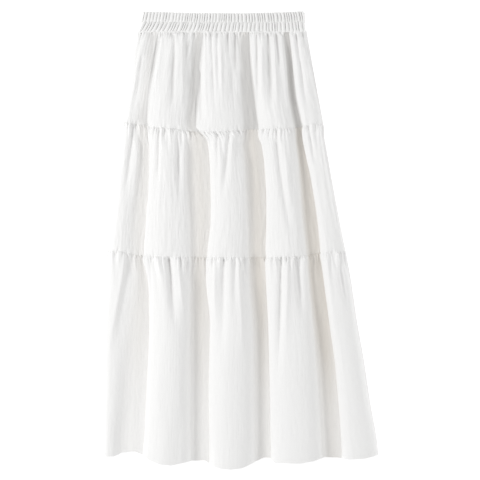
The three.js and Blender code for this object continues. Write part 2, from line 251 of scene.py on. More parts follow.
def flowing(rows, name, y):    # a smooth curve through one column of a table that runs down the skirt
    keys, values = rows["y"], rows[name]
    index = np.clip(np.searchsorted(-keys, -np.asarray(y, float), side="right") - 1, 0, len(keys) - 2)
    slopes = np.empty(len(keys))
    slopes[1:-1] = (values[2:] - values[:-2]) / (keys[2:] - keys[:-2])
    slopes[0] = (values[1] - values[0]) / (keys[1] - keys[0])
    slopes[-1] = (values[-1] - values[-2]) / (keys[-1] - keys[-2])
    span = keys[index + 1] - keys[index]
    share = np.clip((y - keys[index]) / span, 0, 1)
    rest = 1 - share
    near = values[index] * (1 + 2 * share) + span * slopes[index] * share
    far = values[index + 1] * (1 + 2 * rest) - span * slopes[index + 1] * rest
    return near * rest * rest + far * share * share


class Noise:    # smooth random relief on a square lattice, the same on each run
    def __init__(self, number):
        self.side = 256
        self.lattice = np.random.default_rng(seed + number).uniform(-1, 1, (self.side, self.side))

    def at(self, across, down, wide, long):
        u, v = np.broadcast_arrays(across / wide, down / long)
        i, j = np.floor(u).astype(int), np.floor(v).astype(int)
        s, t = ease(u - i), ease(v - j)
        pick = lambda a, b: self.lattice[(i + a) % self.side, (j + b) % self.side]
        low = pick(0, 0) * (1 - s) + pick(1, 0) * s
        high = pick(0, 1) * (1 - s) + pick(1, 1) * s
        return low * (1 - t) + high * t


def waves(noise, form, across, down):    # a form holds depth, width, length and the place in the noise
    depth, wide, long, shift = form
    return depth * noise.at(across + shift, down + noiseDown, wide, long)


def ripples(noise, form, across):    # waves one way: a form holds depth, width, and the place in the noise
    depth, wide, shift, row = form
    return depth * noise.at(across + shift, np.full_like(across, row), wide, 1)


def fluteSide(middle, edge, turn):    # angle of a flute's side, its radius, and where its foot is
    angle = np.radians(turn)
    reach = np.abs(edge - middle) / np.where(angle < math.pi / 2, np.sin(angle), 1)
    return angle, reach, middle + np.sign(edge - middle) * reach * np.sin(angle)


def fluteShape(index, y):    # place and height of a flute's crown, and its two sides
    flute = flutes[index]
    left, right = flowing(edges, flute["from"], y), flowing(edges, flute["to"], y)
    turn = flowing(rises, "turn", y)
    middle = left + (right - left) * flute["crown"]
    leftTurn = flute["leftTurn"] * (np.ones_like(turn) if index == 0 else turn)
    rightTurn = flute["rightTurn"] * (np.ones_like(turn) if index == len(flutes) - 1 else turn)
    top = valleyFloor + flowing(rises, "rise", y) * flute["tall"]
    return middle, top, fluteSide(middle, left, leftTurn), fluteSide(middle, right, rightTurn)


def floorHeight(index, y):    # of a valley; past the outer flutes it is the floor itself
    if index < 0 or index >= len(valleys):
        return np.zeros_like(y)
    return valleyFloor + (1 - flowing(rises, valleys[index]["deep"], y)) * flowing(rises, "rise", y)


def sectionPoints(y):    # x and z of the plain front, with a column of y for each place across
    x, z = np.empty_like(y), np.empty_like(y)
    start = 0
    for index, flute in enumerate(flutes):
        count = flute["columns"] + 1
        part = slice(start, start + count)
        share = np.linspace(0, 1, count)[None, :]
        middle, top, (leftAngle, leftReach, _), (rightAngle, rightReach, _) = fluteShape(index, y[:, part])
        turn = -leftAngle + share * (leftAngle + rightAngle)
        isLeft = turn < 0
        angle, reach = np.where(isLeft, leftAngle, rightAngle), np.where(isLeft, leftReach, rightReach)
        floor = np.where(isLeft, floorHeight(index - 1, y[:, part]), floorHeight(index, y[:, part]))
        lift = (np.cos(turn) - np.cos(angle)) / (1 - np.cos(angle))
        x[:, part] = middle + reach * np.sin(turn)
        z[:, part] = floor + (top - floor) * lift
        start += count
        if index < len(valleys):
            count = valleys[index]["columns"] - 1
            part = slice(start, start + count)
            share = np.linspace(0, 1, count + 2)[None, 1:-1]
            before = fluteShape(index, y[:, part])[3][2]
            after = fluteShape(index + 1, y[:, part])[2][2]
            x[:, part] = before + (after - before) * share
            z[:, part] = floorHeight(index, y[:, part])
            start += count
    return softenFeet(x), softenFeet(z)


def softenFeet(values):    # rounds the foot of each flute's right side, most of all at the first valley
    start = 0
    blend = np.zeros(values.shape[1])
    place = np.arange(values.shape[1])
    for index, valley in enumerate(valleys):
        foot = start + flutes[index]["columns"]
        reach = np.where(place < foot, *valley["soft"])
        blend = np.maximum(blend, hump(place, foot, reach))
        start += flutes[index]["columns"] + valley["columns"]
    return values + (blurAcross(values, footBlur) - values) * blend[None, :]


def columnCount():
    return sum(f["columns"] + 1 for f in flutes) + sum(v["columns"] - 1 for v in valleys)


def placesAcross(onFlutes, inValleys):    # one value for the columns on flutes, and one for each valley's
    places = []
    for index, flute in enumerate(flutes):
        places += [onFlutes] * (flute["columns"] + 1)
        if index < len(valleys):
            places += [inValleys[index]] * (valleys[index]["columns"] - 1)
    return np.array(places)


seamLines = [
    lambda x: np.full_like(x, cloth["waist"]),
    lambda x: line(topSeam, x),
    lambda x: line(lowSeam, x),
    lambda x: line(hemLine, x),
]


def seamHeight(number, x):
    return float(seamLines[number](np.array(float(x))))


# How a crease runs; shares are of its own depth, width and length
creaseForm = {
    "gain": 2.0,
    "sharpness": 1.7,
    "narrow": 0.504,      # width at its start
    "widening": 0.36,     # width that it gains by its end
    "before": 0.15,       # length over which it fades in, above its start
    "reach": 8,           # mm that it may start above its tier
}


def creaseDepth(index, x, y):
    depth = np.zeros_like(x)
    held, before = tiers[index]["held"], creaseForm["before"]
    for startY, startX, midX, endX, endY, width, deep in creases:
        upper, lower = seamHeight(index, startX), seamHeight(index + 1, startX)
        if not lower < startY - creaseForm["reach"] <= upper:
            continue
        fall = (startY - y) / (startY - endY)
        early = startX + (midX - startX) * fall
        late = midX + (endX - midX) * fall
        wide = width * (creaseForm["narrow"] + creaseForm["widening"] * np.clip(fall, 0, 1))
        off = np.abs(x - (early + (late - early) * fall)) / wide
        inside = (fall > -before) & (fall < 1)
        fade = (1 - ease((fall - held) / (1 - held))) * ease((fall + before) / before)
        shape = np.exp(-off ** creaseForm["sharpness"])
        depth += np.where(inside, creaseForm["gain"] * deep * shape * fade, 0)
    return depth


# How a gather runs; ranges and shares are of its run's own values
gatherForm = {
    "jitter": 0.4,            # of its place, as a share of the pitch
    "widths": (0.7, 1.4),
    "lengths": (0.4, 1.5),
    "depths": (0.4, 1.15),
    "lean": 0.14,
    "pinched": 0.55,          # share of its width at the seam
    "pinchedOver": 8,         # mm below the seam where it has all of its width
    "widening": 2.5,          # lengths over which it gets twice as wide
    "startsOver": 3.5,        # mm over which it grows out of the seam
}


def gatherRelief(index, around, below, width):    # uneven gathers that hang from a seam
    rng = np.random.default_rng(seed + 100 + index)
    fall = np.maximum(below, 0)
    pinch = gatherForm["pinched"] + (1 - gatherForm["pinched"]) * ease(fall / gatherForm["pinchedOver"])
    jitter, lean = gatherForm["jitter"], gatherForm["lean"]
    relief = np.zeros_like(around + below)
    for count, narrow, deep, reach, proud in gatherRuns[tiers[index]["name"]]:
        pitch = width / count
        for step in range(count):
            centre = (step + 0.5 + rng.uniform(-jitter, jitter)) * pitch
            wide = pitch * narrow * rng.uniform(*gatherForm["widths"])
            long = reach * rng.uniform(*gatherForm["lengths"])
            amount = deep * rng.uniform(*gatherForm["depths"]) * (-1 if rng.uniform() < proud else 1)
            slant = rng.uniform(-lean, lean)
            spread = wide * pinch * (1 + fall / (long * gatherForm["widening"]))
            off = (around - centre - slant * fall) / spread
            relief += amount * np.exp(-off * off - (fall / long) ** 2)
    return relief * ease((below + 0.5) / gatherForm["startsOver"])


# The small waves along a seam; the creases that start there pull them down
pucker = {
    "fine": (1.4, 3.4, 600, 0.5),
    "broad": (0.6, 9.5, 900, 0.5),
    "creaseReach": 8,
    "creaseDip": 0.4,
    "creaseWidth": 0.7,
    "fades": 7,
}


def seamPucker(number, x):    # the same on both pieces of a seam
    noise = Noise(70 + number)
    height = ripples(noise, pucker["fine"], x) + ripples(noise, pucker["broad"], x)
    for startY, startX, _, _, _, width, deep in creases:
        if number in (1, 2) and abs(startY - seamHeight(number, startX)) < pucker["creaseReach"]:
            height = height - pucker["creaseDip"] * deep * hump(x, startX, pucker["creaseWidth"] * width)
    return height


def blurAcross(values, spread):
    radius = 3 * spread
    weights = np.exp(-0.5 * (np.arange(-radius, radius + 1) / spread) ** 2)
    weights = weights / weights.sum()
    wide = np.pad(values, ((0, 0), (radius, radius)), mode="edge")
    return sum(weight * wide[:, step:step + values.shape[1]] for step, weight in enumerate(weights))


def evenOut(values, reach):    # the mean over a number of columns to each side
    wide = np.pad(values, reach, mode="edge")
    return np.convolve(wide, np.ones(2 * reach + 1) / (2 * reach + 1), mode="valid")[None, :]


def sectionNormals(x, z):
    dx, dz = np.gradient(x, axis=1), np.gradient(z, axis=1)
    length = np.hypot(dx, dz) + 1e-9
    return -dz / length, dx / length


# The front's relief in mm. What ends in From or To grows over that many mm from the upper or the
# lower seam; inValleys and onSlopes hold the share of a relief that is left there.
front = {
    "evenRows": 0.35,         # the other rows are closer together under the gathered seam
    "rowPower": 1.6,
    "tries": 6,               # to set a row between its two seams, which lean and bend
    "broadFolds": (1.5, 46, 210, 0),
    "smallFolds": (0.75, 21, 120, 700),
    "fineCrinkle": (0.65, 2.6, 16, 0),
    "broadCrinkle": (0.7, 5.6, 32, 300),
    "knots": (2.4, 2.8, 500, 0.5),
    "knotPlace": (3.2, 2.2),  # mm below the seam, and their half length
    "swellPlace": (10, 8),
    "inValleys": {"folds": 0.3, "creases": 0.15, "gathers": 0.5, "swell": 0.25},
    "onSlopes": 0.35,
    "foldsFrom": 30,
    "foldsTo": 12,
    "crinkleFrom": 8,
    "crinkleTo": 9,
    "creasesFrom": 9,
    "lapFrom": 4.5,
    "sidesOver": 9,           # the relief fades this close to the sides
    "sideColumns": 5,         # and these columns go down to the floor
    "edgeRise": (0.4, 6),     # lowest part: how much higher it lies past this many mm below its seam
    "hemRidge": 0.35,         # the turned hem, and the groove where it is sewn
    "hemWide": 7,
    "hemFades": 1.2,
    "hemGroove": 0.45,
    "groovePlace": (7.5, 1.1),
    "maskBlur": 7,            # blurs are in columns
    # the painted valley shade is blurred over this many columns
    "valleyShadeBlur": 14,
    "nearShade": 0.08,        # painted grey shade for each mm that the skin lies under its blurred form
    "nearBlur": 5,
    "sunkBlur": 20,
    "sunkOver": 380,
    # the most painted grey shade
    "mostGreyShade": 0.75,
    "paleFrom": -60,          # the painted valley shade fades, as more light gets into the wide valleys, from this height down to the hem
    "paleOver": 330,
    "paleShare": 0.75,
}


def frontPlaces(index):    # x, y and z of a tier's plain front in mm, with its rows between its two seams
    upper, lower = seamLines[index], seamLines[index + 1]
    spread = np.linspace(0, 1, tiers[index]["rows"] + 1)
    even = front["evenRows"]
    falls = (even * spread + (1 - even) * spread ** front["rowPower"])[:, None]
    x = np.zeros((len(spread), columnCount()))
    for _ in range(front["tries"]):
        top = upper(x) + cloth["lap"]
        y = top + (lower(x) - top) * falls
        x, z = sectionPoints(y)
    return x, y, z


def frontSurface(index):    # outer skin of a front tier in mm, a cloth coordinate, and its two painted shades
    tier, isHem = tiers[index], index == lastTier
    x, y, z = frontPlaces(index)
    across = np.hypot(np.diff(x, axis=1), np.diff(z, axis=1))
    around = np.concatenate([[0], np.cumsum(across.mean(axis=0))])[None, :]
    below = seamLines[index](x) - y
    above = y - seamLines[index + 1](x)
    nx, nz = sectionNormals(x, z)
    mask = evenOut(placesAcross(1.0, [0.0] * len(valleys)), front["maskBlur"])
    inValleys = {name: share + (1 - share) * mask for name, share in front["inValleys"].items()}
    upright = front["onSlopes"] + (1 - front["onSlopes"]) * np.clip(nz, 0, 1)

    noise = Noise(index)
    folds = waves(noise, front["broadFolds"], around, y) + waves(noise, front["smallFolds"], around, y)
    folds = folds * ease(below / front["foldsFrom"])
    crinkle = waves(noise, front["fineCrinkle"], around, y) + waves(noise, front["broadCrinkle"], around, y)
    crinkle = crinkle * ease((below + 0.5) / front["crinkleFrom"])
    if not isHem:    # no crinkle is left where two tiers meet
        folds = folds * ease(above / front["foldsTo"] + 0.15)
        crinkle = crinkle * ease(above / front["crinkleTo"])
    relief = folds * inValleys["folds"] + crinkle * tier["crinkle"]
    creased = creaseDepth(index, x, y) * ease((below + 1) / front["creasesFrom"])
    gathered = gatherRelief(index, around, below, float(around.max()))
    relief -= (creased * inValleys["creases"] + gathered * inValleys["gathers"]) * upright
    relief += tier["swell"] * hump(below, *front["swellPlace"]) * inValleys["swell"]
    relief += seamPucker(index, x) * hump(np.maximum(below, 0), 0, pucker["fades"])
    relief += np.maximum(ripples(noise, front["knots"], x), 0) * hump(below, *front["knotPlace"])
    relief -= tier["lapDrop"] * (1 - ease((below - 0.2) / front["lapFrom"]))
    if isHem:
        relief += front["hemRidge"] * ease((front["hemWide"] - above) / front["hemFades"])
        relief -= front["hemGroove"] * hump(above, *front["groovePlace"])
    else:
        relief += seamPucker(index + 1, x) * hump(above, 0, pucker["fades"])
    relief *= ease(np.minimum(around, around.max() - around) / front["sidesOver"])

    x = x + nx * relief
    z = z + nz * relief
    inner = slice(front["sideColumns"], -front["sideColumns"])
    rise, over = front["edgeRise"]
    z[:, inner] = np.maximum(z, cloth["lowest"] + rise * ease(below / over))[:, inner]
    z[:, 0] = 0
    z[:, -1] = 0
    # painted shade in the valleys, creamier and darker, fading towards the hem
    shade = evenOut(placesAcross(0.0, [valley["valleyShadeShare"] for valley in valleys]), front["valleyShadeBlur"])
    # painted grey shade where the skin lies sunk under its blurred form, in creases, gathers and valleys
    near = blurAcross(z, front["nearBlur"]) - z
    sunk = (blurAcross(z, front["sunkBlur"]) - z) * (1 - ease(below / front["sunkOver"]))
    deep = front["nearShade"] * near + tier["deepShade"] * sunk + tier["valleyGreyShade"] * shade
    paler = 1 - front["paleShare"] * ease((front["paleFrom"] - y) / front["paleOver"])
    return x, y, z, around, shade * tier["valleyShadeShare"] * paler, np.clip(deep, 0, front["mostGreyShade"])


def shellObject(name, x, y, z, around, thickness, shade, deep):    # a closed thin shell from its outer skin
    nx, nz = sectionNormals(x, z)
    nx[:, 0], nz[:, 0], nx[:, -1], nz[:, -1] = -1, 0, 1, 0
    inner = (x - nx * thickness, y, z - nz * thickness)
    return skinsObject(name, (x, y, z), inner, around, shade, deep, cloth["innerStep"])


# A closed mesh from two skins; the inner one keeps one point in each step, and all of its border
def skinsObject(name, outer, inner, around, shade=0.0, deep=0.0, step=1):
    rows, columns = outer[0].shape
    downs = sorted(set(range(0, rows, step)) | {rows - 1})
    acrosses = sorted(set(range(0, columns, step)) | {columns - 1})
    kept = np.zeros((rows, columns), bool)
    kept[np.ix_(downs, acrosses)] = True
    kept[0], kept[-1], kept[:, 0], kept[:, -1] = True, True, True, True
    skins = [np.stack(skin, axis=-1).reshape(-1, 3) for skin in (outer, inner)]
    points = np.concatenate([skins[0], skins[1][kept.reshape(-1)]]) * mm
    grid = np.arange(rows * columns).reshape(rows, columns)
    under = (np.cumsum(kept.reshape(-1)) - 1).reshape(rows, columns) + rows * columns
    quads = []

    def add(a, b, c, d):
        quads.append(np.stack([a, b, c, d], axis=-1).reshape(-1, 4))

    add(grid[:-1, :-1], grid[1:, :-1], grid[1:, 1:], grid[:-1, 1:])
    add(grid[:-1, 0], under[:-1, 0], under[1:, 0], grid[1:, 0])
    add(grid[:-1, -1], grid[1:, -1], under[1:, -1], under[:-1, -1])
    add(grid[0, :-1], grid[0, 1:], under[0, 1:], under[0, :-1])
    add(grid[-1, :-1], under[-1, :-1], under[-1, 1:], grid[-1, 1:])
    faces = np.concatenate(quads).tolist()

    def run(first, last, isBorder):    # the points along one side of an inner face, without its last one
        return list(range(first, last, 1 if last > first else -1)) if isBorder else [first]

    for top, low in zip(downs[:-1], downs[1:]):
        for left, right in zip(acrosses[:-1], acrosses[1:]):
            loop = [under[top, at] for at in run(left, right, top == 0)]
            loop += [under[at, right] for at in run(top, low, right == columns - 1)]
            loop += [under[low, at] for at in run(right, left, low == rows - 1)]
            loop += [under[at, left] for at in run(low, top, left == 0)]
            faces.append([int(point) for point in loop])
    mesh = bpy.data.meshes.new(name)
    mesh.from_pydata(points.tolist(), [], faces)
    mesh.update()

    def doubled(values):    # the same value on both skins
        flat = np.broadcast_to(values, (rows, columns)).reshape(-1)
        return np.concatenate([flat, flat[kept.reshape(-1)]])

    flat = np.stack([doubled(around), doubled(outer[1])], axis=-1) * mm
    layer = mesh.uv_layers.new(name="clothMap")
    loops = np.empty(len(mesh.loops), int)
    mesh.loops.foreach_get("vertex_index", loops)
    layer.data.foreach_set("uv", flat[loops].reshape(-1))
    for kind, values in [("valleyShade", shade), ("foldShade", deep)]:
        mesh.attributes.new(kind, "FLOAT", "POINT").data.foreach_set("value", doubled(values))
    mesh.shade_smooth()
    mesh.set_sharp_from_angle(angle=math.radians(cloth["crispAngle"]))
    piece = bpy.data.objects.new(name, mesh)
    bpy.context.collection.objects.link(piece)
    return piece


class Socket:    # wraps a shader socket, so that shader maths reads as plain sums
    def __init__(self, tree, link):
        self.tree = tree
        self.link = link

    def math(self, operation, other):
        node = self.tree.nodes.new("ShaderNodeMath")
        node.operation = operation
        for slot, value in zip(node.inputs, [self, other]):
            feed(self.tree, slot, value)
        return Socket(self.tree, node.outputs[0])

    def __add__(self, other):
        return self.math("ADD", other)

    def __radd__(self, other):
        return self.math("ADD", other)

    def __mul__(self, other):
        return self.math("MULTIPLY", other)

    def __rmul__(self, other):
        return self.math("MULTIPLY", other)


def feed(tree, slot, value):    # links a socket, or sets a plain value
    source = value.link if isinstance(value, Socket) else value
    if isinstance(source, bpy.types.NodeSocket):
        tree.links.new(source, slot)
    else:
        slot.default_value = source


def makeNode(tree, kind, settings=None, **values):    # settings come first, as they change a node's sockets
    node = tree.nodes.new(kind)
    for key, value in (settings or {}).items():
        setattr(node, key, value)
    for key, value in values.items():
        feed(tree, node.inputs[key.replace("_", " ")], value)
    return node


class Finish:    # one material and the nodes in it
    def __init__(self, name):
        self.material = bpy.data.materials.new(name)
        self.material.use_nodes = True
        self.tree = self.material.node_tree
        self.shader = self.tree.nodes["Principled BSDF"]

    def make(self, kind, settings=None, output=0, **values):
        return Socket(self.tree, makeNode(self.tree, kind, settings, **values).outputs[output])

    def paint(self, name, value):    # sets or links one socket of the shader
        feed(self.tree, self.shader.inputs[name], value)

    def mixColour(self, share, first, second):
        return self.make("ShaderNodeMix", {"data_type": "RGBA"}, "Result", Factor=share, A=first, B=second)


cotton = {
    "colour": (0.905, 0.902, 0.895, 1),
    "paler": (0.935, 0.934, 0.93, 1),
    "valleyShadeColour": (0.785, 0.745, 0.69, 1),    # painted shade: the cloth is darker and creamier in the valleys, where shade falls
    "creaseShadeColour": (0.6, 0.595, 0.585, 1),   # and painted shade, greyer, down in the creases and gathers
    "roughness": 0.88,
    "sheen": 0.25,
    "roughnessChange": 0.08,
    "crepeTone": 0.35,        # shares of the paler tone along the lines and in the blotches
    "blotchTone": 0.45,
    "crepePerMetre": 330,     # fine crepe lines across
    "broadShare": 0.35,       # and broader ones, this share as many
    "crepeLength": 0.12,      # scale along the lines, which makes them eight times as long as wide
    "bumpDistance": 0.00095,
    "bumpStrength": 0.9,
    "weaveDistance": 0.00012,
    "weaveStrength": 0.5,
    "warpScale": 620,
    "weftScale": 560,
    "blotchScale": 9,
}


def cottonFinish():
    finish = Finish("crinkledCotton")
    place = finish.make("ShaderNodeTexCoord", output=2)
    stretched = finish.make("ShaderNodeMapping", Vector=place, Scale=(1, cotton["crepeLength"], 1))
    crepe = finish.make("ShaderNodeTexNoise", Vector=stretched, Scale=cotton["crepePerMetre"], Detail=3.0)
    broad = finish.make("ShaderNodeTexNoise", Vector=stretched,
                        Scale=cotton["crepePerMetre"] * cotton["broadShare"], Detail=2.0)
    warp = finish.make("ShaderNodeTexWave", {"bands_direction": "X"}, Vector=place,
                       Scale=cotton["warpScale"], Distortion=0.4)
    weft = finish.make("ShaderNodeTexWave", {"bands_direction": "Y"}, Vector=place,
                       Scale=cotton["weftScale"], Distortion=0.4)
    blotch = finish.make("ShaderNodeTexNoise", Vector=place, Scale=cotton["blotchScale"], Detail=2.0)
    tone = cotton["crepeTone"] * crepe + cotton["blotchTone"] * blotch
    colour = finish.mixColour(tone, cotton["colour"], cotton["paler"])
    # painted shade: darker and creamier in the valleys
    valleyShadeMask = finish.make("ShaderNodeAttribute", {"attribute_name": "valleyShade"}, output=2)
    colour = finish.mixColour(valleyShadeMask, colour, cotton["valleyShadeColour"])
    # painted shade, greyer, in the creases, gathers and valleys
    creased = finish.make("ShaderNodeAttribute", {"attribute_name": "foldShade"}, output=2)
    colour = finish.mixColour(creased, colour, cotton["creaseShadeColour"])
    weave = finish.make("ShaderNodeBump", Height=warp * 0.5 + weft * 0.5,
                        Distance=cotton["weaveDistance"], Strength=cotton["weaveStrength"])
    bump = finish.make("ShaderNodeBump", Height=crepe * 0.6 + broad * 0.8, Normal=weave,
                       Distance=cotton["bumpDistance"], Strength=cotton["bumpStrength"])
    finish.paint("Base Color", colour)
    finish.paint("Roughness", cotton["roughness"] + cotton["roughnessChange"] * blotch)
    finish.paint("Normal", bump)
    finish.paint("Sheen Weight", cotton["sheen"])
    finish.paint("Sheen Roughness", 0.5)
    finish.paint("Specular IOR Level", 0.25)
    return finish.material


cottonMaterial = cottonFinish()
print("cotton finish made")


def dress(piece, node):    # each cloth piece stands for one solid
    piece.data.materials.append(cottonMaterial)
    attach(piece, "root")
    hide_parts(node)


frontGrids, backGrids = [], []
for index, tier in enumerate(tiers):
    x, y, z, around, shade, deep = frontSurface(index)
    frontGrids.append((x, y, z))
    piece = shellObject(tier["name"] + "_front_cloth", x, y, z, around, cloth["thickness"], shade, deep)
    dress(piece, tier["name"] + "_front")
    arc = float(np.hypot(np.diff(x[-1]), np.diff(z[-1])).sum())
    print(tier["name"], "front: arc at its lower edge", round(arc), "mm")


# Back panels lie flat on the floor, a little creased under the front
backPanel = {
    "columns": 150,
    "rows": 46,
    "inset": 1.2,
    "thickness": 0.6,
    "relief": 0.8,
    "folds": (0.5, 26, 150, 900),
    "puckers": (0.5, 4.5, 300, 3),
    "puckerLength": 26,
    "foldShare": 0.65,
    "puckerShare": 0.6,
    "sideColumns": 3,      # over which it flattens at each side
    "hemGap": 6,           # its hem lies this much higher up than the front's
}


# A back panel's x and y, and the heights of its two skins, in mm
def backSurface(upper, lower, leftSide, rightSide, number, columns, rows):
    falls = np.linspace(0, 1, rows + 1)[:, None]
    shares = np.linspace(0, 1, columns + 1)[None, :]
    x = np.zeros((rows + 1, columns + 1))
    for _ in range(front["tries"]):
        top, bottom = upper(x), lower(x)
        y = top + (bottom - top) * falls
        x = leftSide(y) + (rightSide(y) - leftSide(y)) * shares
    noise = Noise(40 + number)
    folds = 0.5 + waves(noise, backPanel["folds"], x, y)
    puckers = 0.5 + ripples(noise, backPanel["puckers"], x)
    puckers = puckers * hump(upper(x) - y, 0, backPanel["puckerLength"])
    both = backPanel["foldShare"] * folds + backPanel["puckerShare"] * puckers
    relief = backPanel["relief"] * np.clip(both, 0, 1)
    sides = np.minimum(np.arange(columns + 1), np.arange(columns + 1)[::-1])[None, :]
    low = relief * ease(sides / backPanel["sideColumns"])
    return x, y, low + backPanel["thickness"], low


for index, tier in enumerate(tiers):
    lift = backPanel["hemGap"] if index == lastTier else cloth["seamHalf"]
    x, y, top, low = backSurface(
        lambda x: seamLines[index](x) - cloth["seamHalf"],
        lambda x: seamLines[index + 1](x) + lift,
        lambda y: flowing(edges, "left", y) + backPanel["inset"],
        lambda y: flowing(edges, "right", y) - backPanel["inset"],
        index, backPanel["columns"], backPanel["rows"])
    around = np.cumsum(np.concatenate([[0], np.diff(x.mean(axis=0))]))[None, :]
    backGrids.append((x, y, low))
    piece = skinsObject(tier["name"] + "_back_cloth", (x, y, top), (x, y, low), around)
    dress(piece, tier["name"] + "_back")
print("tiers made")


# The waistband: two elastic channels, each with its own run of gathers
band = {
    "rows": 46,
    "columns": 580,
    "upperGathers": 57,
    "lowerGathers": 48,
    "uneven": 0.42,        # how much the gathers differ in width
    "heights": (0.65, 1.1),
    "roundness": 0.62,     # of a gather; lower is rounder with a narrower trough
    "swell": 4.6,          # height of a gather in mm
    "lowShare": 0.45,      # what is left of that height beside a stitch row
    "puff": 1.2,           # how far a channel swells between its stitch rows
    "wall": 1.6,
    "base": 2.0,
    "edge": 0.4,           # thickness of the cloth at the rolled edges
    "fine": (0.2, 2.4, 9, 400),
    "stitchRows": (0.5, 0.965),
    "upperLean": 0.011,    # slants of the gathers, as shares of the band's width
    "lowerLean": -0.02,
    "lessLean": 1.1,       # how fast the lower gathers' lean falls away to the right
    "rightPart": (0.35, 0.4),   # the upper gathers lean, and get more painted shade in their troughs, from this share, over this share
    "rollTop": 0.06,
    "rollColumns": 6,
    "scallop": 1.1,        # how far the gathers push the top edge up, and the share over which it fades
    "scallopFades": 0.05,
    "meanWave": 0.55,
    "darkUpper": 0.45,     # how strong the painted shade in the troughs is
    "darkLower": 0.68,
    "darkness": (1.15, 1.7),    # of the painted shade in the bottom of a trough, and how fast it fades up its sides
    "flat": 470,           # the stated flat width in mm, for the cloth coordinate
}
bandBack = {"columns": 220, "rows": 20, "inset": 1.9, "topInset": 1, "number": 9}
bandEdges = np.array(bandSides, float)


def bandLeft(y):
    return np.interp(y, bandEdges[:, 0], bandEdges[:, 1])


def bandRight(y):
    return np.interp(y, bandEdges[:, 0], bandEdges[:, 2])


def gatherWave(number, count, share):    # rounded ridges with narrow troughs, uneven in width and height
    rng = np.random.default_rng(seed + 200 + number)
    steps = 1 + rng.uniform(-band["uneven"], band["uneven"], count)
    marks = np.concatenate([[0], np.cumsum(steps)]) / steps.sum()
    beat = np.interp(share, marks, np.arange(count + 1))
    heights = rng.uniform(*band["heights"], count + 1)
    height = heights[np.clip(beat.astype(int), 0, count)]
    return height * np.abs(np.sin(math.pi * beat)) ** band["roundness"]


def rolled(share):    # a quarter circle from 0 to 1
    return np.sqrt(np.clip(1 - (1 - np.clip(share, 0, 1)) ** 2, 0, 1))


def bandSurface():    # the band's outer skin in mm, its shares across, and the painted shade in its troughs
    falls = np.linspace(0, 1, band["rows"] + 1)[:, None]
    shares = np.linspace(0, 1, band["columns"] + 1)[None, :]
    x = np.zeros((band["rows"] + 1, band["columns"] + 1))
    for _ in range(front["tries"]):
        top = line(bandTop, x)
        y = top + (cloth["waist"] - top) * falls
        x = bandLeft(y) + (bandRight(y) - bandLeft(y)) * shares
    middle, low = band["stitchRows"]
    upperShare = falls / middle
    lowerShare = (falls - middle) / (low - middle)
    isUpper = falls < middle
    rightPart = ease((shares - band["rightPart"][0]) / band["rightPart"][1])
    upperLean = band["upperLean"] * rightPart * (upperShare - 0.5)
    lowerLean = band["lowerLean"] * (1 - band["lessLean"] * shares) * (lowerShare - 0.5)
    upperWave = gatherWave(0, band["upperGathers"], np.clip(shares - upperLean, 0, 1))
    lowerWave = gatherWave(1, band["lowerGathers"], np.clip(shares - lowerLean, 0, 1))
    wave = np.where(isUpper, upperWave, lowerWave)
    puff = np.sin(math.pi * np.clip(np.where(isUpper, upperShare, lowerShare), 0, 1)) ** 0.5
    height = band["swell"] * wave * (band["lowShare"] + (1 - band["lowShare"]) * puff)
    height = height + band["wall"] + band["puff"] * puff + waves(Noise(60), band["fine"], x, y)
    z = band["base"] + band["edge"] + (height - band["edge"]) * rolled(falls / band["rollTop"])
    ends = np.minimum(shares, 1 - shares) * band["columns"] / band["rollColumns"]
    y = y + band["scallop"] * (wave - band["meanWave"]) * np.exp(-falls / band["scallopFades"])
    # painted shade in the troughs of the gathers, stronger on the right of the upper channel
    dark = band["darkUpper"] + (1 - band["darkUpper"]) * rightPart
    dark = np.where(isUpper, dark, band["darkLower"]) * puff
    deepest, fading = band["darkness"]
    deep = np.clip(deepest - fading * wave, 0, 1) * dark
    return x, y, z * rolled(ends), shares, deep * ease(ends / 2)


x, y, z, shares, deep = bandSurface()
bandGrid = (x, y, z)
innerZ = np.minimum(np.full_like(z, band["base"]), np.maximum(z - band["edge"], 0))
innerZ[:, 0], innerZ[:, -1] = 0, 0
innerX = np.clip(x, x[:, :1] + band["wall"], x[:, -1:] - band["wall"])
piece = skinsObject("waistband_front_cloth", (x, y, z), (innerX, y, innerZ), shares * band["flat"],
                    deep=deep)
dress(piece, "waistband_front")

x, y, top, low = backSurface(
    lambda x: line(bandTop, x) - bandBack["topInset"],
    lambda x: np.full_like(x, cloth["waist"]),
    lambda y: bandLeft(y) + bandBack["inset"],
    lambda y: bandRight(y) - bandBack["inset"],
    bandBack["number"], bandBack["columns"], bandBack["rows"])
piece = skinsObject("waistband_back_cloth", (x, y, top), (x, y, low), x[:1] - bandEdges[0, 1])
dress(piece, "waistband_back")
print("waistband made")


# Sewing thread: one stitch is set again and again along a path by geometry nodes
thread = {
    "pitch": 3.0,
    "length": 2.2,
    "width": 0.5,
    "proud": 0.08,       # how far the middle of a stitch stands off the cloth
    "segments": (6, 4),  # around and along one stitch
    "aboveSeam": 2.2,    # height of a row over its seam or hem
    "aboveHem": 7.4,
    "colour": (0.93, 0.928, 0.92, 1),
    "shaded": (0.86, 0.858, 0.85, 1),
    "lowest": 0.25,      # over the floor
    "twistScale": 900,
}


def threadFinish():
    finish = Finish("sewingThread")
    place = finish.make("ShaderNodeTexCoord", output=3)
    twist = finish.make("ShaderNodeTexNoise", Vector=place, Scale=thread["twistScale"], Detail=2.0)
    finish.paint("Base Color", finish.mixColour(twist, thread["shaded"], thread["colour"]))
    finish.paint("Roughness", 0.5 + 0.2 * twist)
    return finish.material


